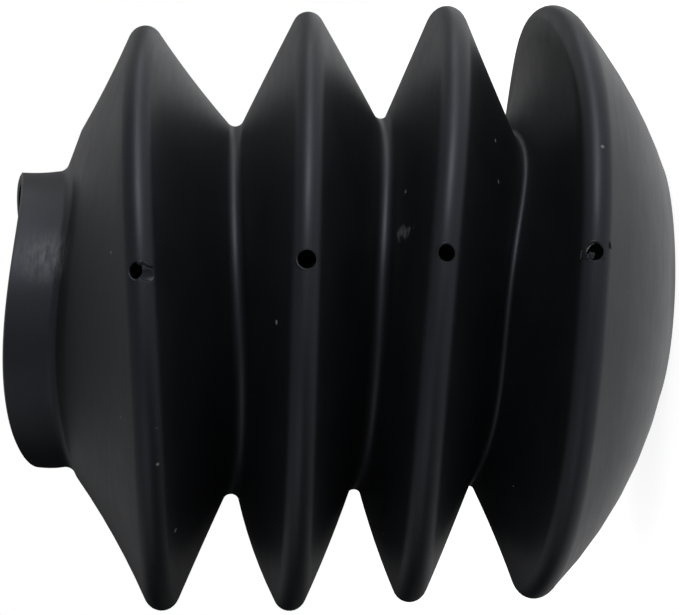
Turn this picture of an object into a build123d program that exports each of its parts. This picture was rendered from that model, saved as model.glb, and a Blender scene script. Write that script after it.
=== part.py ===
"""Rubber bellows boot: one moulded piece with four folds, a cuff at the top and a plain end below.

The boot stands on its flat end in the plane Z = 0, with the cuff on top. It is soft and keeps a
slight bend, so the line through its folds drifts sideways with height, and every ring of the folds
leans by its own small angle. The wall has one thickness all over.
"""
import os
from math import cos, radians, sin, tan

from build123d import *

# Driving dimensions, in millimetres and degrees.
WALL = 1.8

# The line through the middle of the folds drifts this far along X and Y for each unit of height.
DRIFT_X = -0.088
DRIFT_Y = -0.031

# Each ring is the sharp corner between two flanks, before it is rounded:
# height, radius, lean towards +X, lean towards +Y, and shift along X from the middle line.
END_RING = (0.0, 23.8, 0.0, 0.0, 0.0)
CRESTS = [
    (21.3, 54.7, -1.3, -4.0, 0.6),
    (39.2, 55.9, 1.2, -0.2, -0.6),
    (61.0, 54.8, -0.8, -2.4, -0.9),
    (85.3, 52.8, -4.5, -3.0, -0.6),
]
VALLEYS = [
    (28.6, 30.7, 3.7, -2.6, 0.1),
    (49.3, 30.4, 1.8, -3.4, 0.6),
    (71.9, 30.1, -2.2, -4.7, 0.7),
]
CREST_ROUNDINGS = [4.2, 3.0, 3.0, 3.0]
VALLEY_ROUNDING = 0.9
DOME_BOW = 1.6               # how far the lowest flank bows outwards halfway up
TOP_FLANK_BOW = -0.5         # the highest flank is hollow instead

# The cuff is a true cylinder. Its foot is the last ring of the folds.
CUFF_DIAMETER = 50.5
CUFF_RING = (99.5, CUFF_DIAMETER / 2, -2.8, -1.8, 0.0)
CUFF_BLANK_LENGTH = 16.0     # length of the cuff before its mouth is trimmed
CUFF_BORE_OVERLAP = 6.0      # the bore is cut from this far below the cuff's foot
FOOT_SPREAD = 1.0            # a small cone fills the corner between the top flank and the cuff

# The mouth of the cuff is wavy: it follows a trough of large radius that lies across the cuff.
MOUTH_RING = (104.8, CUFF_DIAMETER / 2, -6.8, -1.5, 0.0)
MOUTH_TROUGH_RADIUS = 82.0
MOUTH_TROUGH_TURN = -45.0    # direction of the trough, turned from +X about the mouth's normal
MOUTH_ROUNDING = 0.4

END_BORE_DIAMETER = 35.0
SHOULDER_ROUNDING = 2.4

VENT_DIAMETER = 2.6
VENT_TURN = 8.3              # turn of the row of vents from -Y towards +X
VENT_REACH = 16.0            # length of the punch, enough to pass through the crest's wall


def ring_plane(ring):
    """Plane of one ring, centred on the ring."""
    height, _, lean_x, lean_y, shift = ring
    normal = Vector(tan(radians(lean_x)), tan(radians(lean_y)), 1)
    centre = Vector(DRIFT_X * height + shift, DRIFT_Y * height, height)
    return Plane(origin=centre, x_dir=Vector(0, 1, 0).cross(normal), z_dir=normal)


def ring_disc(ring):
    """Disc inside one ring."""
    return ring_plane(ring) * Circle(ring[1])


def bowed_flank(lower, upper, bow):
    """Solid under one flank whose middle is moved by the bow, square to the flank and outwards."""
    rise = upper[0] - lower[0]
    spread = upper[1] - lower[1]
    slant = (rise**2 + spread**2) ** 0.5
    middle = [(a + b) / 2 for a, b in zip(lower, upper)]
    middle[0] -= bow * spread / slant
    middle[1] += bow * rise / slant
    return loft([ring_disc(ring) for ring in (lower, middle, upper)])


def fold_rings():
    """Crests and valleys in turn, from the lowest crest to the highest."""
    rings = [CRESTS[0]]
    for valley, crest in zip(VALLEYS, CRESTS[1:]):
        rings += [valley, crest]
    return rings


def ring_edge(body, ring):
    """Closed edge of the body that lies on the given ring."""
    centre = ring_plane(ring).origin
    closed = [edge for edge in body.edges() if edge.is_closed]
    return min(closed, key=lambda edge: (edge.center(CenterOf.MASS) - centre).length)


def make_skin():
    """Solid inside the outer surface of the folds, with rounded crests, valleys and shoulder."""
    dome = bowed_flank(END_RING, CRESTS[0], DOME_BOW)
    folds = loft([ring_disc(ring) for ring in fold_rings()], ruled=True)
    top_flank = bowed_flank(CRESTS[-1], CUFF_RING, TOP_FLANK_BOW)
    skin = dome + folds + top_flank
    for crest, rounding in zip(CRESTS, CREST_ROUNDINGS):
        skin = fillet(ring_edge(skin, crest), rounding)
    for valley in VALLEYS:
        skin = fillet(ring_edge(skin, valley), VALLEY_ROUNDING)
    return fillet(ring_edge(skin, END_RING), SHOULDER_ROUNDING)


def add_cuff(skin):
    """Set a solid cuff on the folds, with a small cone round its foot."""
    foot = ring_plane(CUFF_RING)
    radius = CUFF_DIAMETER / 2
    cuff = extrude(foot * Circle(radius), CUFF_BLANK_LENGTH)
    cone = foot * Cone(radius + 2 * FOOT_SPREAD, radius - FOOT_SPREAD, 3 * FOOT_SPREAD)
    return skin + cuff + cone


def trim_mouth(body):
    """Cut the cuff's mouth to its wavy edge and round it."""
    across = ring_plane(MOUTH_RING) * Rot(0, 0, MOUTH_TROUGH_TURN)
    trough = across * Pos(0, 0, MOUTH_TROUGH_RADIUS) * Rot(0, 90, 0)
    body = body - trough * Cylinder(MOUTH_TROUGH_RADIUS, 2 * CUFF_DIAMETER)
    mouth_face = body.faces().sort_by(Axis.Z)[-1]
    return fillet(mouth_face.edges(), MOUTH_ROUNDING)


def vent_punch(below, crest, above):
    """Punch for one vent: it stands square on the crest, halfway between the two flanks."""
    def corner(ring):
        plane = ring_plane(ring)
        outward = Vector(sin(radians(VENT_TURN)), -cos(radians(VENT_TURN)), 0)
        in_plane = (outward - plane.z_dir * outward.dot(plane.z_dir)).normalized()
        return plane.origin + in_plane * ring[1]

    tip = corner(crest)
    inward = ((corner(below) - tip).normalized() + (corner(above) - tip).normalized()).normalized()
    return extrude(Plane(origin=tip, z_dir=inward) * Circle(VENT_DIAMETER / 2), VENT_REACH)


def punch_vents(body):
    """Punch one vent through every crest."""
    rings = [END_RING, *fold_rings(), CUFF_RING]
    for index in range(1, len(rings) - 1, 2):
        body = body - vent_punch(rings[index - 1], rings[index], rings[index + 1])
    return body


def bellows_boot():
    """The whole boot: a skin with one wall thickness, bored at both ends, with its vents punched."""
    skin = make_skin()
    hollow = offset(skin, amount=-WALL)
    cuff_bore = extrude(
        ring_plane(CUFF_RING).offset(-CUFF_BORE_OVERLAP) * Circle(CUFF_DIAMETER / 2 - WALL),
        CUFF_BORE_OVERLAP + CUFF_BLANK_LENGTH,
    )
    end_bore = Cylinder(END_BORE_DIAMETER / 2, 6 * WALL)
    body = add_cuff(skin) - hollow - cuff_bore - end_bore
    return punch_vents(trim_mouth(body))


os.makedirs("parts", exist_ok=True)
export_step(bellows_boot(), "parts/bellows_boot.step")
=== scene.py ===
"""Rubber bellows boot: its visible skin, its rubber, and a plain studio round it.

The boot is one moulded piece. Its skin follows one rule: rings, crest and valley in turn, joined by
flanks and rounded at every corner. Geometry Nodes build it from the rings below. Lengths in this
script are millimetres until they reach Blender, which works in metres. Only the studio's lengths
are written in metres.
"""
import math
from typing import NamedTuple

import bpy
from mathutils import Matrix, Vector


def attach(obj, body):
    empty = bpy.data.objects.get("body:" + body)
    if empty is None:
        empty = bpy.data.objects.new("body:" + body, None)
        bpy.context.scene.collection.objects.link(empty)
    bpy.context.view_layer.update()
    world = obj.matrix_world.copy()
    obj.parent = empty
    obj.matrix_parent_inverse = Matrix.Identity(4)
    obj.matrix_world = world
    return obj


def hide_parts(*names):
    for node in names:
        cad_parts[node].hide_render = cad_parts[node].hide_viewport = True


MM = 0.001

# The line through the middle of the folds drifts this far along X and Y for each unit of height.
DRIFT = (-0.088, -0.031)


class Ring(NamedTuple):
    """Sharp corner between two flanks, as a ring round the boot that leans and waves a little."""

    name: str
    height: float
    radius: float
    lean: tuple = (0.0, 0.0)           # degrees, towards +X and towards +Y
    shift: float = 0.0                 # along X, from the line through the folds
    rounding: float = 0.0              # radius that the corner is rounded to
    double_wave: tuple = (0.0, 0.0)    # waves of its height: twice round the ring, cosine and sine
    triple_wave: tuple = (0.0, 0.0)
    fourfold_wave: tuple = (0.0, 0.0)
    bow: tuple = (0.0, 0.0)            # of the flank below: its mean, and its growth towards +X


# From the cuff's mouth down to the end opening.
RINGS = [
    Ring("mouth", 106.35, 25.05, (-6.9, -1.8), 0.1, 0.0, (-0.58, 2.07), (-0.1, 0.1), bow=(0.0, -0.15)),
    Ring("cuff foot", 99.2, 25.1, (-2.8, -2.8), 0.0, 1.9, (0.35, 0.5), (0.4, 0.8)),
    Ring("root ridge", 97.55, 29.4, (-1.45, -2.9), 2.5, 2.0, (0.4, 0.5), (0.25, 0.6), bow=(-0.35, 0.2)),
    Ring("crest 4", 85.2, 52.1, (-5.1, -2.9), -0.9, 2.7, (-0.3, 0.5), (-0.5, -0.4), bow=(-0.15, -0.15)),
    Ring("valley 3", 71.7, 29.3, (-2.4, -4.6), 0.9, 1.5, (0.1, -0.2), (-0.4, 0.1), bow=(0.3, -0.25)),
    Ring("crest 3", 61.1, 54.5, (-0.5, -2.3), -1.3, 2.6, (-0.1, -0.4), (0.2, 0.1), bow=(0.15, -0.1)),
    Ring("valley 2", 48.9, 29.3, (1.7, -3.0), 0.8, 1.5, (0.3, 0.1), (-0.2, 0.2), bow=(0.15, -0.15)),
    Ring("crest 2", 39.3, 55.3, (1.1, 0.1), -0.5, 2.7, (-0.1, 0.3), (0.3, 0.3), bow=(0.05, -0.1)),
    Ring("valley 1", 28.3, 28.9, (2.3, -2.4), -1.7, 0.8, (0.2, 1.6), (-0.5, 0.5),
         fourfold_wave=(0.2, 0.3), bow=(-1.1, -0.9)),
    Ring("crest 1", 20.1, 54.1, (-0.9, -3.1), -0.1, 2.7, (0.1, 0.5), (0.4, -0.4),
         fourfold_wave=(0.5, 0.1), bow=(1.55, -0.55)),
    Ring("shoulder", 0.2, 21.85, (0.0, 0.0), 0.8, 1.95, (0.2, -0.2)),
    Ring("end opening", 0.0, 17.5),
]


class Vent(NamedTuple):
    """Punched hole in a crest, with the bead that the punch raised round its edge."""

    crest: str
    turn: float          # degrees from +X
    rise: float          # from the crest's middle towards the cuff, as a share of its rounding
    size: tuple          # radius along the boot and round it
    bead_way: float      # where the bead is thickest: degrees from the cuff's side towards +X


VENTS = [
    Vent("crest 4", -81.35, 0.1, (0.95, 1.27), -50.0),
    Vent("crest 3", -80.5, -0.03, (1.35, 1.4), -35.0),
    Vent("crest 2", -81.1, -0.06, (1.22, 1.28), 50.0),
    Vent("crest 1", -82.1, 0.03, (1.25, 1.3), 50.0),
]
VENTS_SIDE = -81.3       # degrees from +X
VENT_REACH = 13.0        # length of the punch
BEAD = 0.24              # radius of a bead where it is thickest
BEAD_THINNEST = 0.04     # share of that radius that is left on the other side
BEAD_TAPER = 1.5         # the bead thins as this power of the nearness to its thickest place
BEAD_GAP = 0.2           # from a vent's edge to the middle of its bead


class Mark(NamedTuple):
    """Burr or dent that the punch left beside a vent: a small ellipsoid that lies on the skin."""

    crest: str
    place: tuple         # from the vent's middle: towards the cuff, towards +X and outwards
    size: tuple          # half its length each way
    twist: float = 0.0   # degrees, from the cuff's side towards +X


BURRS = [
    Mark("crest 4", (-0.6, 1.25, -0.05), (0.5, 0.42, 0.4)),
    Mark("crest 4", (-1.55, 0.95, -0.2), (0.95, 0.2, 0.3), 25.0),
    Mark("crest 1", (0.75, -0.7, -0.4), (0.85, 0.6, 0.55), -45.0),
    Mark("crest 1", (2.0, -0.45, 0.0), (0.2, 0.7, 0.16), 10.0),
    Mark("crest 1", (-2.25, 1.2, -0.2), (0.14, 0.6, 0.14), -10.0),
    Mark("crest 1", (-1.4, -1.1, 0.0), (0.14, 0.5, 0.1), 40.0),
]
DENTS = [
    Mark("crest 4", (-1.9, -0.5, 0.5), (1.9, 1.25, 0.7)),
]
BURR_GRAIN = 0.96        # how much their radius varies, as a share of it, over a whole noise
DENT_GRAIN = 0.384
BURR_WAVES = 1.3         # of that noise, in half the length of a burr or dent
BURR_DETAIL = 2.0        # of that noise

WALL = 1.8
LIP = 0.35               # roundness of the two open edges

# How finely the boot is made.
STEPS_ROUND = 240
CROWDING = 0.8           # share by which the steps are closer together at the vents
FLANK_STEPS = 5
ROUNDING_STEPS = 12
LIP_STEPS = 3
VENT_STEPS = 48
BEAD_SECTION_STEPS = 12
BURR_SUBDIVISIONS = 4
SHARP_EDGE = 50          # degrees between two faces
MERGE_DISTANCE = 0.001
ROUND_OFF = 0.0001       # keeps a whole number of blocks from being rounded down by one
IN_LINE = 0.9999         # cosine past which two flanks are taken as in line

# Values that the nodes leave on the mesh, where nothing reads them any more.
GUIDE_VALUES = ["crest", "turn", "rise", "bead way", "size", "place", "twist", "spoke"]


class Noise(NamedTuple):
    """Cloudy pattern on the skin, with values from 0 to 1."""

    scale: float                         # waves in a millimetre
    detail: float = 2.0
    roughness: float = 0.5
    crowding: tuple = (1.0, 1.0, 1.0)    # times as many waves along X, Y and Z


# Rubber. A pair of values of a noise gives where a change starts and where it is complete.
DEEP_BLACK = (0.0041, 0.0047, 0.0058, 1)
FADED_BLACK = (0.0054, 0.0062, 0.0075, 1)
BLOTCHES = Noise(0.09, 3.0, 0.6)
FADING = (0.3, 0.7)              # of the blotches
SHINE = 0.35
SHINE_TINT = (0.82, 0.86, 1.0, 1)
ROUGHNESS = 0.45
ROUGHNESS_SPREAD = 0.1           # over the blotches, and again over the rub marks
PALE_ROUGHNESS = 0.25            # added under bloom and dust
GRAIN = Noise(3.5)
GRAIN_DEPTH = 0.012
RUB_MARKS = Noise(1.0, 3.0, 0.6, (0.15, 0.15, 1.6))
RUB_MARK_DEPTH = 0.8             # share of the grain's depth
DUST_HEIGHT = 1.5                # share of the grain's depth

# Dust lies anywhere, and a few grains are large enough to be seen one by one.
DUST_GREY = (0.15, 0.15, 0.15, 1)
DUST_SPACING = 4.5
DUST_RADIUS = 0.21               # of the largest grain
DUST_FREE = 0.3                  # share of the places that hold no dust
DUST_EDGE = 0.075                # width of a grain's soft edge
LARGE_GRAIN_REACH = 1.5          # in radii of the grain, with its soft edge
LARGE_GRAIN_EDGE = (0.15, 0.55)  # of the nearness to its middle, which is 0 at that reach
DUST_GRAINS = [
    ((13.5, -34.5, 44.5), 0.32),
    ((22.2, -31.7, 30.8), 0.3),
    ((15.7, -33.6, 30.2), 0.3),
    ((20.8, -45.2, 15.9), 0.28),
    ((-7.4, -46.9, 63.2), 0.35),
    ((-40.1, -35.5, 77.6), 0.35),
    ((-29.1, -46.9, 79.8), 0.25),
    ((1.9, -44.8, 88.2), 0.25),
]

# Bloom is a thin pale film: a patch on the cuff, rubbed into streaks, and a smear in a groove.
BLOOM_PLACE = (1.4, -26.0, 100.8)
BLOOM_REACH = 5.5
BLOOM_STRENGTH = 0.5
STREAKS = Noise(0.9, 3.0, 0.6, (0.5, 0.5, 1.7))
STREAKS_EDGE = (0.36, 0.61)
SMEAR_PLACE = (7.1, -37.2, 44.7)
SMEAR_WAY = (0.62, 0.0, -0.78)   # it is longest this way
SMEAR_REACH = 0.95               # across its way
SMEAR_LENGTHENING = 0.4          # share of the distance along its way that does not count
SMEAR_Y_SHARE = 0.15             # share of the distance along Y that counts
SMEAR_EDGE = (0.0, 0.8333)       # of the nearness to its middle
SMEAR_RAGGEDNESS = 2.5
SMEAR_STRENGTH = 0.55
RAGGED_EDGE = Noise(0.9)

# The camera lies on its side and looks along +Y, so the cuff is at the left of the frame.
CAMERA_PLACE = (-4.8, -335.1, 55.4)
CAMERA_ROLL = 2.5                # degrees
CAMERA_YAW = 0.3                 # degrees
SENSOR_WIDTH = 36.0
FRAME_WIDTH = 680                # pixels
LENS_LENGTH = 1950               # in those pixels
CLIP_START = 10.0
CLIP_END = 20000.0


class Lamp(NamedTuple):
    """Square soft lamp that faces the boot, in metres and watts."""

    name: str
    place: tuple
    size: float
    power: float


# Studio, in metres.
LAMPS_FACE = Vector((-0.005, 0.0, 0.055))
LAMPS = [
    Lamp("overhead lamp", (0.9, 0.0, 0.06), 0.6, 1.55),
    Lamp("forward lamp", (0.85, -0.35, 0.06), 0.3, 1.7),
    Lamp("main lamp", (0.65, -0.65, 0.06), 0.25, 4.05),
    Lamp("fill lamp", (-0.65, -0.65, 0.2), 0.6, 0.8),
    Lamp("front lamp", (0.0, -1.2, 0.1), 0.6, 0.95),
    Lamp("back lamp", (0.9, 0.3, 0.06), 0.3, 0.6),
    Lamp("low lamp", (-0.85, -0.25, 0.12), 0.6, 0.4),
]
WHITE = (1, 1, 1, 1)
FLOOR_SIZE = 6.0
FLOOR_GAP = 0.0001               # the end is not quite flat: its lowest places come almost this far
FLOOR_ROUGHNESS = 0.9
FLOOR_PALENESS = 0.85
FLOOR_GLOW = 0.87                # as the camera sees it

# The floor as the rubber mirrors it: painted shade makes it dark, and it glows with a painted pool
# of light round the boot and with painted light on the side, +X, that faces most of the lamps.
MIRRORED_PAINTED_SHADE = 0.1
PAINTED_POOL_GLOW = 0.7
POOL_REACH = 0.08
POOL_FALL = -1.5                 # power of 1 plus the squared distance, in reaches
PAINTED_SIDE_GLOW = 0.85
SIDE_BLEND = 0.125               # half the width of the change from one side to the other

# The room as the rubber mirrors it. A direction there is a unit vector, and a pair of values of
# one of its parts gives where a change starts and where it is complete.
ROOM_LIGHT = 0.12
ROOM_SIDE = (-0.2083, 0.2083)    # towards +X, where the far part of the room is lighter
ROOM_FAR = (0.0, 0.5)            # towards +Y
CEILING_LIGHT = 0.37
CEILING = (0.35, 0.55)           # towards +Z
WINDOW_EDGE = 0.8333             # towards +X and +Y together, where a soft window starts
WINDOW_SLOPE = 0.9
WINDOW_FOOT = (0.2, 0.45)        # towards +Z


class Term:
    """One output of a node. Python's operators on it add Math or Vector Math nodes."""

    def __init__(self, tree, socket):
        self.tree = tree
        self.socket = socket

    def is_vector(self):
        return self.socket.type in {"VECTOR", "RGBA"}

    def combine(self, operation, first, second):
        vector = any(isinstance(term, Term) and term.is_vector() for term in (first, second))
        kind = "ShaderNodeVectorMath" if vector else "ShaderNodeMath"
        return self.tree.node(kind, {"operation": operation}, {0: first, 1: second})

    def scaled(self, factor):
        return self.tree.node("ShaderNodeVectorMath", {"operation": "SCALE"}, {0: self, "Scale": factor})

    def __add__(self, other):
        return self.combine("ADD", self, other)

    def __radd__(self, other):
        return self.combine("ADD", other, self)

    def __sub__(self, other):
        return self.combine("SUBTRACT", self, other)

    def __rsub__(self, other):
        return self.combine("SUBTRACT", other, self)

    def __mul__(self, other):
        if isinstance(other, Term) and other.is_vector() and not self.is_vector():
            return other.scaled(self)
        if self.is_vector() and not (isinstance(other, Term) and other.is_vector()):
            return self.scaled(other)
        return self.combine("MULTIPLY", self, other)

    def __rmul__(self, other):
        return self * other

    def __truediv__(self, other):
        if self.is_vector():
            return self.scaled(1 / other)
        return self.combine("DIVIDE", self, other)

    def __rtruediv__(self, other):
        return self.combine("DIVIDE", other, self)

    def __neg__(self):
        return self * -1

    def __gt__(self, other):
        return self.combine("GREATER_THAN", self, other)

    def __lt__(self, other):
        return self.combine("LESS_THAN", self, other)

    def __mod__(self, other):
        return self.combine("FLOORED_MODULO", self, other)

    def function(self, operation):
        return self.tree.node("ShaderNodeMath", {"operation": operation}, {0: self})

    def power(self, exponent):
        return self.combine("POWER", self, exponent)

    def at_most(self, other):
        return self.combine("MINIMUM", self, other)

    def at_least(self, other):
        return self.combine("MAXIMUM", self, other)

    def dot(self, other):
        settings = {"operation": "DOT_PRODUCT"}
        return self.tree.node("ShaderNodeVectorMath", settings, {0: self, 1: other}, "Value")

    def length(self):
        return self.tree.node("ShaderNodeVectorMath", {"operation": "LENGTH"}, {0: self}, "Value")

    def cross(self, other):
        return self.combine("CROSS_PRODUCT", self, other)

    def unit(self):
        return self.tree.node("ShaderNodeVectorMath", {"operation": "NORMALIZE"}, {0: self})

    def parts(self):
        split = self.tree.node("ShaderNodeSeparateXYZ", {}, {0: self}).socket.node
        return [Term(self.tree, socket) for socket in split.outputs]

    def clamp(self, low=0.0, high=1.0):
        return self.tree.node("ShaderNodeClamp", {}, {"Value": self, "Min": low, "Max": high})

    def ramp(self, start, end):
        """0 up to the start, 1 from the end on, and a straight line between them."""
        return ((self - start) * (1.0 / (end - start))).clamp()


class Tree:
    """A node tree that is written as expressions."""

    def __init__(self, nodes_owner):
        self.owner = nodes_owner
        self.nodes = nodes_owner.nodes
        self.links = nodes_owner.links

    def node(self, kind, settings=None, values=None, output=0):
        """Add a node: its settings first, then the values or links of its sockets."""
        node = self.nodes.new(kind)
        for name, value in (settings or {}).items():
            setattr(node, name, value)
        for name, value in (values or {}).items():
            socket = node.inputs[name]
            if isinstance(value, Term):
                self.links.new(value.socket, socket)
            else:
                socket.default_value = value
        return Term(self, node.outputs[output])

    def vector(self, x, y, z):
        return self.node("ShaderNodeCombineXYZ", {}, {0: x, 1: y, 2: z})

    def mixed_colour(self, share, first, second):
        """The first colour where the share is 0, and the second where it is 1."""
        # A Mix node set to colours takes them at its sockets 6 and 7, and gives one at socket 2.
        values = {"Factor": share, 6: first, 7: second}
        return self.node("ShaderNodeMix", {"data_type": "RGBA"}, values, 2)


class GeometryTree(Tree):
    """A Geometry Nodes group with named inputs and outputs."""

    def __init__(self, name, inputs, outputs):
        super().__init__(bpy.data.node_groups.new(name, "GeometryNodeTree"))
        for title, kind in inputs:
            self.owner.interface.new_socket(title, in_out="INPUT", socket_type=kind)
        for title, kind in outputs:
            self.owner.interface.new_socket(title, in_out="OUTPUT", socket_type=kind)
        entry = self.nodes.new("NodeGroupInput")
        self.exit = self.nodes.new("NodeGroupOutput")
        self.inputs = {socket.name: Term(self, socket) for socket in entry.outputs if socket.name}

    def finish(self, **results):
        for name, value in results.items():
            self.links.new(value.socket, self.exit.inputs[name.replace("_", " ")])
        return self.owner

    def call(self, group, values):
        """Use another group in this tree, and give its outputs by name."""
        node = self.node("GeometryNodeGroup", {"node_tree": group}, values).socket.node
        return {socket.name: Term(self, socket) for socket in node.outputs}

    def sample(self, geometry, value, index, kind="FLOAT"):
        """Value of a point of the geometry, found by its index."""
        settings = {"data_type": kind, "domain": "POINT", "clamp": True}
        values = {"Geometry": geometry, "Value": value, "Index": index}
        return self.node("GeometryNodeSampleIndex", settings, values)

    def attribute(self, name, kind="FLOAT"):
        return self.node("GeometryNodeInputNamedAttribute", {"data_type": kind}, {"Name": name})

    def choose(self, condition, when_false, when_true):
        """One of two vectors."""
        values = {"Switch": condition, "False": when_false, "True": when_true}
        return self.node("GeometryNodeSwitch", {"input_type": "VECTOR"}, values)


def guide_mesh(name, places, values):
    """Mesh with loose points that carry named values, each a number or a vector. A pair gets a 1
    as its third number."""
    mesh = bpy.data.meshes.new(name)
    mesh.from_pydata(places, [], [])
    for title, column in values.items():
        if isinstance(column[0], tuple):
            flat = [number for vector in column for number in (*vector, 1.0)[:3]]
            mesh.attributes.new(title, "FLOAT_VECTOR", "POINT").data.foreach_set("vector", flat)
        else:
            mesh.attributes.new(title, "FLOAT", "POINT").data.foreach_set("value", column)
    guide = bpy.data.objects.new(name, mesh)
    bpy.context.scene.collection.objects.link(guide)
    return guide


def radians(*angles):
    return tuple(math.radians(angle) for angle in angles)


def guide_of_rings():
    """One point for each ring, in order."""
    places = [
        (DRIFT[0] * ring.height + ring.shift, DRIFT[1] * ring.height, ring.height) for ring in RINGS
    ]
    return guide_mesh("ring guide", places, {
        "lean": [radians(*ring.lean) for ring in RINGS],
        "radius": [ring.radius for ring in RINGS],
        "rounding": [ring.rounding for ring in RINGS],
        "double wave": [ring.double_wave for ring in RINGS],
        "triple wave": [ring.triple_wave for ring in RINGS],
        "fourfold wave": [ring.fourfold_wave for ring in RINGS],
        "bow": [ring.bow for ring in RINGS],
    })


def guide_on_vents(name, items):
    """One point for each vent, burr or dent, with the sizes of its vent and its own."""
    ring_names = [ring.name for ring in RINGS]
    vents = [next(vent for vent in VENTS if vent.crest == item.crest) for item in items]
    values = {
        "crest": [float(ring_names.index(item.crest)) for item in items],
        "turn": [math.radians(vent.turn) for vent in vents],
        "rise": [vent.rise for vent in vents],
        "bead way": [math.radians(vent.bead_way) for vent in vents],
        "size": [item.size for item in items],
        "place": [getattr(item, "place", (0.0, 0.0, 0.0)) for item in items],
        "twist": [math.radians(getattr(item, "twist", 0.0)) for item in items],
    }
    return guide_mesh(name, [(0.0, 0.0, 0.0)] * len(items), values)


def ring_corner_group():
    """Where the sharp corner of one ring lies at one azimuth."""
    tree = GeometryTree(
        "ring corner",
        [("Rings", "NodeSocketGeometry"), ("Index", "NodeSocketFloat"), ("Azimuth", "NodeSocketFloat")],
        [("Corner", "NodeSocketVector"), ("Rounding", "NodeSocketFloat"), ("Bow", "NodeSocketFloat")],
    )
    rings, index, azimuth = (tree.inputs[name] for name in ("Rings", "Index", "Azimuth"))

    def size(name, kind="FLOAT"):
        return tree.sample(rings, tree.attribute(name, kind), index, kind)

    place = tree.node("GeometryNodeInputPosition")
    centre = tree.sample(rings, place, index, "FLOAT_VECTOR")

    # The ring's plane leans, and its spokes are counted from the one that points towards +X.
    lean_x, lean_y, _ = size("lean", "FLOAT_VECTOR").parts()
    normal = tree.vector(lean_x.function("TANGENT"), lean_y.function("TANGENT"), 1.0).unit()
    along_x = tree.vector(1.0, 0.0, 0.0)
    start = (along_x - normal * normal.dot(along_x)).unit()
    side = normal.cross(start)

    def turned(times):
        angle = azimuth * times
        return tree.vector(angle.function("COSINE"), angle.function("SINE"), 0.0)

    wave = size("double wave", "FLOAT_VECTOR").dot(turned(2.0))
    wave = wave + size("triple wave", "FLOAT_VECTOR").dot(turned(3.0))
    wave = wave + size("fourfold wave", "FLOAT_VECTOR").dot(turned(4.0))
    cosine, sine, _ = turned(1.0).parts()
    spoke = start * cosine + side * sine
    corner = centre + spoke * size("radius") + normal * wave
    mean_bow, bow_growth, _ = size("bow", "FLOAT_VECTOR").parts()
    bow = mean_bow + bow_growth * cosine
    return tree.finish(Corner=corner, Rounding=size("rounding"), Bow=bow)


def skin_point_group(ring_corner):
    """One point of the outer skin, from its row and its azimuth. Rows run from the mouth down."""
    tree = GeometryTree(
        "skin point",
        [
            ("Rings", "NodeSocketGeometry"),
            ("Row", "NodeSocketFloat"),
            ("Azimuth", "NodeSocketFloat"),
            ("Flank steps", "NodeSocketFloat"),
            ("Rounding steps", "NodeSocketFloat"),
        ],
        [("Point", "NodeSocketVector"), ("Outward", "NodeSocketVector"), ("Rounding", "NodeSocketFloat")],
    )
    rings, azimuth = tree.inputs["Rings"], tree.inputs["Azimuth"]
    flank_steps, rounding_steps = tree.inputs["Flank steps"], tree.inputs["Rounding steps"]

    # After the mouth's own row, each block of rows is one flank and the rounding at its end.
    row = tree.inputs["Row"] - 1.0
    steps = flank_steps + rounding_steps
    block = (row / steps + ROUND_OFF).function("FLOOR")
    step = row - block * steps

    def corner(offset):
        values = {"Rings": rings, "Index": block + float(offset), "Azimuth": azimuth}
        return tree.call(ring_corner, values)

    before, first, second, after = (corner(offset) for offset in (-1, 0, 1, 2))
    flank = (second["Corner"] - first["Corner"]).unit()
    back = (before["Corner"] - first["Corner"]).unit()
    onward = (after["Corner"] - second["Corner"]).unit()

    def half_angle(one, other):
        return one.dot(other).clamp(-IN_LINE, IN_LINE).function("ARCCOSINE") * 0.5

    first_angle = half_angle(back, flank)
    second_angle = half_angle(-flank, onward)
    first_reach = first["Rounding"] / first_angle.function("TANGENT")
    second_reach = second["Rounding"] / second_angle.function("TANGENT")

    start = first["Corner"] + flank * first_reach
    end = second["Corner"] - flank * second_reach
    along = (step + 1.0) / (flank_steps + 1.0)
    radial = tree.vector(azimuth.function("COSINE"), azimuth.function("SINE"), 0.0)
    outward = (radial - flank * flank.dot(radial)).unit()
    bow = first["Bow"] * along * (1.0 - along) * 4.0  # whole in the middle, none at the ends
    on_flank = start + (end - start) * along + outward * bow

    # The rounding is an arc. Its spokes turn evenly, from this flank's end to the next one's start.
    inward = (onward - flank).unit()
    centre = second["Corner"] + inward * (second["Rounding"] / second_angle.function("SINE"))
    first_spoke = second["Corner"] - flank * second_reach - centre
    last_spoke = second["Corner"] + onward * second_reach - centre
    opening = math.pi - second_angle * 2.0
    share = ((step - flank_steps) / (rounding_steps - 1.0)).clamp()
    first_weight = ((1.0 - share) * opening).function("SINE")
    last_weight = (share * opening).function("SINE")
    arc = (first_spoke * first_weight + last_spoke * last_weight) * (1.0 / opening.function("SINE"))
    on_rounding = centre + arc
    point = tree.choose(step < flank_steps - 0.5, on_rounding, on_flank)
    return tree.finish(Point=point, Outward=arc.unit(), Rounding=second["Rounding"])


SHAPE_INPUTS = [
    ("Rings", "NodeSocketGeometry"),
    ("Flank steps", "NodeSocketFloat"),
    ("Rounding steps", "NodeSocketFloat"),
]


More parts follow.
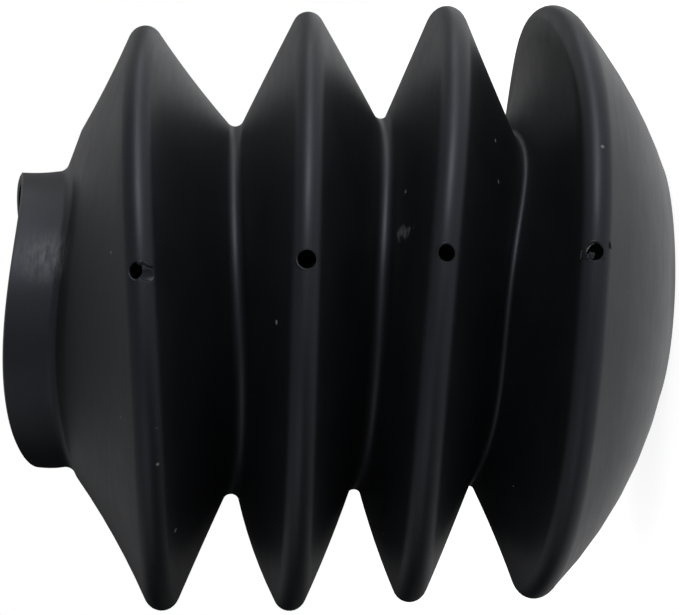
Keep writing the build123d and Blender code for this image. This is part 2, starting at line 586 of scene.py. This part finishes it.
def wall_group(skin_point):
    """The wall without its vents. Its section is a loop of rows: down the outer skin, round the
    end's edge, up the inner skin, and round the mouth's edge."""
    tree = GeometryTree(
        "wall",
        SHAPE_INPUTS + [
            ("Steps round", "NodeSocketInt"),
            ("Lip steps", "NodeSocketInt"),
            ("Wall", "NodeSocketFloat"),
            ("Lip", "NodeSocketFloat"),
            ("Vents side", "NodeSocketFloat"),
            ("Crowding", "NodeSocketFloat"),
        ],
        [("Wall", "NodeSocketGeometry")],
    )
    value = tree.inputs
    round_steps, lip_steps = value["Steps round"], value["Lip steps"]
    ring_count = tree.node(
        "GeometryNodeAttributeDomainSize", {"component": "MESH"}, {"Geometry": value["Rings"]},
        "Point Count",
    )
    steps = value["Flank steps"] + value["Rounding steps"]
    rows = (ring_count - 2.0) * steps + value["Flank steps"] + 2.0
    last_row = rows - 1.0
    columns = round_steps + 1.0
    index = tree.node("GeometryNodeInputIndex")
    row = ((index + 0.5) / columns).function("FLOOR")
    column = index - row * columns

    def grid(row_count):
        return tree.node("GeometryNodeMeshGrid", {}, {"Vertices X": row_count, "Vertices Y": columns})

    def placed(geometry, position):
        values = {"Geometry": geometry, "Position": position}
        return tree.node("GeometryNodeSetPosition", {}, values)

    shape = {name: value[name] for name, _ in SHAPE_INPUTS}
    turn = column * math.tau / round_steps
    azimuth = turn - turn.function("SINE") * value["Crowding"] + value["Vents side"]
    skin = tree.call(skin_point, {**shape, "Row": row, "Azimuth": azimuth})
    outer = placed(grid(rows), skin["Point"])
    position = tree.node("GeometryNodeInputPosition")

    def outer_point(at_row, at_column):
        where = at_row * columns + at_column
        return tree.sample(outer, position, where, "FLOAT_VECTOR")

    # Depth is 0 on the outer skin and 1 on the inner one. Inner rows lie under outer rows.
    loop = rows * 2.0 + lip_steps * 2.0
    place = row % loop
    to_inside = (place - last_row) / (lip_steps + 1.0)
    to_outside = (place - last_row * 2.0 - lip_steps - 1.0) / (lip_steps + 1.0)
    depth = to_inside.clamp() - to_outside.clamp()
    risen = (place - rows - lip_steps).at_least(0.0).at_most(last_row)
    source = place.at_most(last_row) - risen
    here = outer_point(source, column)
    round_way = outer_point(source, (column + 1.0) % round_steps)
    round_way = round_way - outer_point(source, (column - 1.0) % round_steps)
    row_above = (source - 1.0).at_least(0.0)
    row_below = (source + 1.0).at_most(last_row)
    down_way = outer_point(row_below, column) - outer_point(row_above, column)
    normal = down_way.cross(round_way).unit()
    past_edge = down_way.unit() * ((source > 0.5) * 2.0 - 1.0)
    push = (depth * math.pi).function("SINE") * value["Lip"]
    wall_place = here - normal * (depth * value["Wall"]) + past_edge * push
    wall = placed(grid(loop + 1.0), wall_place)
    values = {"Geometry": wall, "Distance": MERGE_DISTANCE}
    wall = tree.node("GeometryNodeMergeByDistance", {}, values)
    return tree.finish(Wall=wall)


def place_on_skin_group(skin_point):
    """Where a vent, burr or dent lies, and the ways outwards and along the boot there."""
    tree = GeometryTree(
        "place on skin",
        SHAPE_INPUTS,
        [
            ("Point", "NodeSocketVector"),
            ("Outward", "NodeSocketVector"),
            ("Along", "NodeSocketVector"),
            ("Rounding", "NodeSocketFloat"),
        ],
    )
    shape = {name: tree.inputs[name] for name, _ in SHAPE_INPUTS}
    flank_steps, rounding_steps = shape["Flank steps"], shape["Rounding steps"]
    first_row = (tree.attribute("crest") - 1.0) * (flank_steps + rounding_steps) + flank_steps + 1.0
    row = first_row + (rounding_steps - 1.0) * (0.5 - tree.attribute("rise"))
    skin = tree.call(skin_point, {**shape, "Row": row, "Azimuth": tree.attribute("turn")})
    outward, rounding = skin["Outward"], skin["Rounding"]
    upright = tree.vector(0.0, 0.0, 1.0)
    along = (upright - outward * outward.dot(upright)).unit()
    around = along.cross(outward)

    # Away from its middle, the crest falls off as a circle of its rounding does.
    aside, across, above = tree.attribute("place", "FLOAT_VECTOR").parts()
    above = above - aside * aside / (rounding * 2.0)
    point = skin["Point"] + along * aside + around * across + outward * above
    twist = tree.attribute("twist")
    along = along * twist.function("COSINE") + around * twist.function("SINE")
    outward = (outward + along * (aside / rounding)).unit()
    return tree.finish(Point=point, Outward=outward, Along=along, Rounding=rounding)


def boot_group():
    """The whole boot: its wall, its vents, and the beads, burrs and dents that the punch left."""
    tree = GeometryTree(
        "bellows boot",
        SHAPE_INPUTS + [
            ("Vents", "NodeSocketObject"),
            ("Burrs", "NodeSocketObject"),
            ("Dents", "NodeSocketObject"),
            ("Steps round", "NodeSocketInt"),
            ("Lip steps", "NodeSocketInt"),
            ("Wall", "NodeSocketFloat"),
            ("Lip", "NodeSocketFloat"),
            ("Vents side", "NodeSocketFloat"),
            ("Crowding", "NodeSocketFloat"),
            ("Vent reach", "NodeSocketFloat"),
            ("Bead", "NodeSocketFloat"),
            ("Bead gap", "NodeSocketFloat"),
            ("Burr grain", "NodeSocketFloat"),
            ("Dent grain", "NodeSocketFloat"),
            ("Material", "NodeSocketMaterial"),
        ],
        [("Boot", "NodeSocketGeometry")],
    )
    value = tree.inputs
    skin_point = skin_point_group(ring_corner_group())
    names = ("Steps round", "Lip steps", "Wall", "Lip", "Vents side", "Crowding")
    shape = {name: value[name] for name, _ in SHAPE_INPUTS}
    wall = tree.call(wall_group(skin_point), {**shape, **{name: value[name] for name in names}})
    spot = tree.call(place_on_skin_group(skin_point), shape)
    size = tree.attribute("size", "FLOAT_VECTOR")
    position = tree.node("GeometryNodeInputPosition")

    def on_skin(guide, item, scale):
        """Copies of the item, one for each point of the guide, turned to the skin."""
        points = tree.node("GeometryNodeObjectInfo", {}, {"Object": value[guide]}, "Geometry")
        points = tree.node("GeometryNodeMeshToPoints", {}, {"Mesh": points, "Position": spot["Point"]})
        turn = tree.node("FunctionNodeAxesToRotation", {"primary_axis": "Z", "secondary_axis": "X"},
                         {"Primary Axis": spot["Outward"], "Secondary Axis": spot["Along"]})
        copies = tree.node("GeometryNodeInstanceOnPoints", {}, {
            "Points": points, "Instance": item, "Rotation": turn, "Scale": scale,
        })
        return tree.node("GeometryNodeRealizeInstances", {}, {"Geometry": copies})

    def joined(first, second, operation):
        """Union or difference of two closed meshes."""
        settings = {"operation": operation, "solver": "MANIFOLD"}
        if operation == "DIFFERENCE":
            return tree.node("GeometryNodeMeshBoolean", settings, {"Mesh 1": first, "Mesh 2": second})
        result = tree.node("GeometryNodeMeshBoolean", settings, {"Mesh 2": second})
        tree.links.new(first.socket, result.socket.node.inputs["Mesh 2"])
        return result

    # A bead is a ring of changing thickness that follows the crest's roundness.
    circle = tree.node("GeometryNodeCurvePrimitiveCircle", {}, {"Resolution": VENT_STEPS})
    circle = tree.node("GeometryNodeStoreNamedAttribute", {"data_type": "FLOAT_VECTOR"},
                       {"Geometry": circle, "Name": "spoke", "Value": position})
    spoke_along = position.parts()[0]
    sunk = position - tree.vector(0.0, 0.0, spoke_along * spoke_along)
    circle = tree.node("GeometryNodeSetPosition", {}, {"Geometry": circle, "Position": sunk})
    reach_along, reach_round, _ = size.parts()
    reach_along, reach_round = reach_along + value["Bead gap"], reach_round + value["Bead gap"]
    drop = reach_along * reach_along / (spot["Rounding"] * 2.0)
    beads = on_skin("Vents", circle, tree.vector(reach_along, reach_round, drop))
    bead_way = tree.attribute("bead way")
    thickest = tree.vector(bead_way.function("COSINE"), -bead_way.function("SINE"), 0.0)
    nearness = tree.attribute("spoke", "FLOAT_VECTOR").dot(thickest).clamp()
    thickness = nearness.power(BEAD_TAPER) * (1.0 - BEAD_THINNEST) + BEAD_THINNEST
    section = tree.node("GeometryNodeCurvePrimitiveCircle", {}, {"Resolution": BEAD_SECTION_STEPS})
    values = {"Curve": beads, "Profile Curve": section, "Scale": value["Bead"] * thickness}
    beads = tree.node("GeometryNodeCurveToMesh", {}, values)

    values = {"Vertices": VENT_STEPS, "Depth": value["Vent reach"]}
    punches = on_skin("Vents", tree.node("GeometryNodeMeshCylinder", {}, values), size)

    def rough_ball(grain):
        """Ball of radius 1 whose skin wanders."""
        ball = tree.node("GeometryNodeMeshIcoSphere", {}, {"Subdivisions": BURR_SUBDIVISIONS})
        waves = {"Vector": position, "Scale": BURR_WAVES, "Detail": BURR_DETAIL}
        wander = position * ((tree.node("ShaderNodeTexNoise", {}, waves) - 0.5) * value[grain])
        return tree.node("GeometryNodeSetPosition", {}, {"Geometry": ball, "Offset": wander})

    boot = joined(wall["Wall"], beads, "UNION")
    boot = joined(boot, punches, "DIFFERENCE")
    boot = joined(boot, on_skin("Dents", rough_ball("Dent grain"), size), "DIFFERENCE")
    boot = joined(boot, on_skin("Burrs", rough_ball("Burr grain"), size), "UNION")
    whole = tree.node("GeometryNodeRealizeInstances", {}, {"Geometry": boot})
    metres = tree.node("GeometryNodeTransform", {}, {"Geometry": whole, "Scale": (MM, MM, MM)})
    done = tree.node("GeometryNodeSetMaterial", {}, {"Geometry": metres, "Material": value["Material"]})
    return tree.finish(Boot=done)


def build_boot(rubber):
    """Run the boot's nodes on its rings and keep the result as a plain mesh."""
    guide = guide_of_rings()
    group = boot_group()
    modifier = guide.modifiers.new("boot", "NODES")
    modifier.node_group = group
    inputs = {
        "Vents": guide_on_vents("vents", VENTS),
        "Burrs": guide_on_vents("burrs", BURRS),
        "Dents": guide_on_vents("dents", DENTS),
        "Steps round": STEPS_ROUND,
        "Flank steps": float(FLANK_STEPS),
        "Rounding steps": float(ROUNDING_STEPS),
        "Lip steps": LIP_STEPS,
        "Wall": WALL,
        "Lip": LIP,
        "Vents side": math.radians(VENTS_SIDE),
        "Crowding": CROWDING,
        "Vent reach": VENT_REACH,
        "Bead": BEAD,
        "Bead gap": BEAD_GAP,
        "Burr grain": BURR_GRAIN,
        "Dent grain": DENT_GRAIN,
        "Material": rubber,
    }
    for item in group.interface.items_tree:
        if item.in_out == "INPUT" and item.name in inputs:
            modifier[item.identifier] = inputs[item.name]
    depsgraph = bpy.context.evaluated_depsgraph_get()
    mesh = bpy.data.meshes.new_from_object(guide.evaluated_get(depsgraph))
    for helper in (guide, inputs["Vents"], inputs["Burrs"], inputs["Dents"]):
        bpy.data.objects.remove(helper)
    for name in GUIDE_VALUES:
        if name in mesh.attributes:
            mesh.attributes.remove(mesh.attributes[name])
    boot = bpy.data.objects.new("boot", mesh)
    bpy.context.scene.collection.objects.link(boot)
    mesh.shade_smooth()
    mesh.set_sharp_from_angle(angle=math.radians(SHARP_EDGE))
    return boot


def rubber_material():
    """Black moulded rubber: a satin skin with fine grain and rub marks, bloom on it and dust."""
    material = bpy.data.materials.new("black rubber")
    material.use_nodes = True
    tree = Tree(material.node_tree)
    shader = tree.nodes["Principled BSDF"]
    place = tree.node("ShaderNodeTexCoord", output="Object") * (1.0 / MM)

    def pattern(noise):
        values = {
            "Vector": place * tree.vector(*noise.crowding),
            "Scale": noise.scale,
            "Detail": noise.detail,
            "Roughness": noise.roughness,
        }
        return tree.node("ShaderNodeTexNoise", {}, values)

    def near(middle, reach):
        """1 at the middle, falling to 0 at the reach."""
        return (1.0 - (place - tree.vector(*middle)).length() / reach).clamp()

    def bloom_on_cuff():
        return near(BLOOM_PLACE, BLOOM_REACH) * pattern(STREAKS).ramp(*STREAKS_EDGE)

    def smear_in_groove():
        way = tree.vector(*SMEAR_WAY)
        away = (place - tree.vector(*SMEAR_PLACE)) * tree.vector(1.0, SMEAR_Y_SHARE, 1.0)
        away = away - way * (away.dot(way) * SMEAR_LENGTHENING)
        ragged = (pattern(RAGGED_EDGE) - 0.5) * SMEAR_RAGGEDNESS
        return (1.0 - away.length() / SMEAR_REACH + ragged).ramp(*SMEAR_EDGE)

    def dust_anywhere():
        cells = tree.node("ShaderNodeTexVoronoi", {}, {"Vector": place, "Scale": 1.0 / DUST_SPACING})
        lot = Term(tree, cells.socket.node.outputs["Color"]).parts()[0]
        largest = DUST_RADIUS / DUST_SPACING
        grain_radius = (lot - DUST_FREE) * (largest / (1.0 - DUST_FREE))
        return (grain_radius - cells).ramp(0.0, DUST_EDGE / DUST_SPACING)

    dust = dust_anywhere()
    for middle, radius in DUST_GRAINS:
        dust = dust + near(middle, radius * LARGE_GRAIN_REACH).ramp(*LARGE_GRAIN_EDGE)
    pale = bloom_on_cuff() * BLOOM_STRENGTH + smear_in_groove() * SMEAR_STRENGTH + dust
    pale = pale.clamp()
    blotches = pattern(BLOTCHES)
    rub_marks = pattern(RUB_MARKS)

    black = tree.mixed_colour(blotches.ramp(*FADING), DEEP_BLACK, FADED_BLACK)
    colour = tree.mixed_colour(pale, black, DUST_GREY)
    unevenness = (blotches - 0.5) + (rub_marks - 0.5)
    roughness = ROUGHNESS + unevenness * ROUGHNESS_SPREAD + pale * PALE_ROUGHNESS
    height = pattern(GRAIN) + rub_marks * RUB_MARK_DEPTH + dust * DUST_HEIGHT
    bump = tree.node("ShaderNodeBump", {}, {"Height": height, "Distance": GRAIN_DEPTH * MM})
    tree.links.new(colour.socket, shader.inputs["Base Color"])
    tree.links.new(roughness.socket, shader.inputs["Roughness"])
    tree.links.new(bump.socket, shader.inputs["Normal"])
    shader.inputs["Specular IOR Level"].default_value = SHINE
    shader.inputs["Specular Tint"].default_value = SHINE_TINT
    return material


def add_camera():
    roll = math.radians(CAMERA_ROLL)
    yaw = math.radians(CAMERA_YAW)
    view = Vector((0.0, math.cos(yaw), -math.sin(yaw)))
    up = Vector((math.cos(roll), 0.0, math.sin(roll)))
    right = view.cross(up).normalized()
    up = right.cross(view)
    data = bpy.data.cameras.new("camera")
    data.sensor_width = SENSOR_WIDTH
    data.lens = SENSOR_WIDTH * LENS_LENGTH / FRAME_WIDTH
    data.clip_start = CLIP_START * MM
    data.clip_end = CLIP_END * MM
    camera = bpy.data.objects.new("camera", data)
    turn = Matrix((right, up, -view)).transposed().to_4x4()
    camera.matrix_world = Matrix.Translation(Vector(CAMERA_PLACE) * MM) @ turn
    bpy.context.scene.collection.objects.link(camera)
    bpy.context.scene.camera = camera


def add_lamps():
    for lamp in LAMPS:
        data = bpy.data.lights.new(lamp.name, "AREA")
        data.shape = "SQUARE"
        data.size = lamp.size
        data.energy = lamp.power
        light = bpy.data.objects.new(lamp.name, data)
        light.location = lamp.place
        way = LAMPS_FACE - Vector(lamp.place)
        light.rotation_euler = way.to_track_quat("-Z", "Y").to_euler()
        bpy.context.scene.collection.objects.link(light)


def ray_kinds(tree, *kinds):
    """1 for rays of any of these kinds, such as Is Camera Ray, and 0 for others."""
    path = tree.node("ShaderNodeLightPath").socket.node
    total = Term(tree, path.outputs[kinds[0]])
    for kind in kinds[1:]:
        total = total + Term(tree, path.outputs[kind])
    return total.clamp()


def add_world():
    """A dim room with a pale ceiling, and a white backdrop where the camera looks past the boot."""
    world = bpy.data.worlds.new("studio")
    world.use_nodes = True
    bpy.context.scene.world = world
    tree = Tree(world.node_tree)
    background = tree.nodes["Background"]
    across, onward, height = tree.node("ShaderNodeTexCoord", output="Generated").parts()
    brighter_side = across.ramp(*ROOM_SIDE)
    room = ROOM_LIGHT * (1.0 + onward.ramp(*ROOM_FAR) * (brighter_side * 2.0 - 1.0))
    room = room + (CEILING_LIGHT - room) * height.ramp(*CEILING)
    window = ((onward + across - WINDOW_EDGE) * WINDOW_SLOPE).clamp() * height.ramp(*WINDOW_FOOT)
    room = room + window
    seen = ray_kinds(tree, "Is Camera Ray", "Is Transmission Ray")
    strength = room + (1.0 - room) * seen
    background.inputs["Color"].default_value = WHITE
    tree.links.new(strength.socket, background.inputs["Strength"])


def add_floor():
    """A pale floor under the boot, which stands on its end opening."""
    mesh = bpy.data.meshes.new("floor")
    half = FLOOR_SIZE / 2
    outline = [(-half, -half), (half, -half), (half, half), (-half, half)]
    mesh.from_pydata([(x, y, -FLOOR_GAP) for x, y in outline], [], [(0, 1, 2, 3)])
    floor = bpy.data.objects.new("floor", mesh)
    bpy.context.scene.collection.objects.link(floor)
    material = bpy.data.materials.new("pale floor")
    material.use_nodes = True
    tree = Tree(material.node_tree)
    shader = tree.nodes["Principled BSDF"]
    shader.inputs["Roughness"].default_value = FLOOR_ROUGHNESS
    shader.inputs["Specular IOR Level"].default_value = 0.0
    shader.inputs["Emission Color"].default_value = WHITE
    seen = ray_kinds(tree, "Is Camera Ray", "Is Transmission Ray")
    # Rays that the rubber mirrors see painted shade, a dark floor, with a painted pool of light round the
    # boot and painted light on its +X side.
    mirrored = ray_kinds(tree, "Is Glossy Ray")
    place = tree.node("ShaderNodeTexCoord", output="Object")
    away = place.length() / POOL_REACH
    painted_pool = (1.0 + away * away).power(POOL_FALL) * PAINTED_POOL_GLOW
    brighter_side = place.parts()[0].ramp(-SIDE_BLEND, SIDE_BLEND) * PAINTED_SIDE_GLOW
    backdrop_and_painted_glow = seen * FLOOR_GLOW + (painted_pool + brighter_side) * mirrored
    paleness = FLOOR_PALENESS - mirrored * (FLOOR_PALENESS - MIRRORED_PAINTED_SHADE)
    tree.links.new(paleness.socket, shader.inputs["Base Color"])
    tree.links.new(backdrop_and_painted_glow.socket, shader.inputs["Emission Strength"])
    mesh.materials.append(material)


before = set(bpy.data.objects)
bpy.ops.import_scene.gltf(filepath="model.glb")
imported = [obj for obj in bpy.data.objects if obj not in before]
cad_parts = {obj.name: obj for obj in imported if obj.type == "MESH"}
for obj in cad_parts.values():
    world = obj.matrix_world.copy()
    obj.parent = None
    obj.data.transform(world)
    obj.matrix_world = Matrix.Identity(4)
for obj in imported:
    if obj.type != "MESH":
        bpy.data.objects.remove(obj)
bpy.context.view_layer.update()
add_camera()
boot = build_boot(rubber_material())
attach(boot, "root")
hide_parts("bellows_boot")
add_floor()
add_world()
add_lamps()
bpy.context.scene.view_settings.view_transform = "Standard"
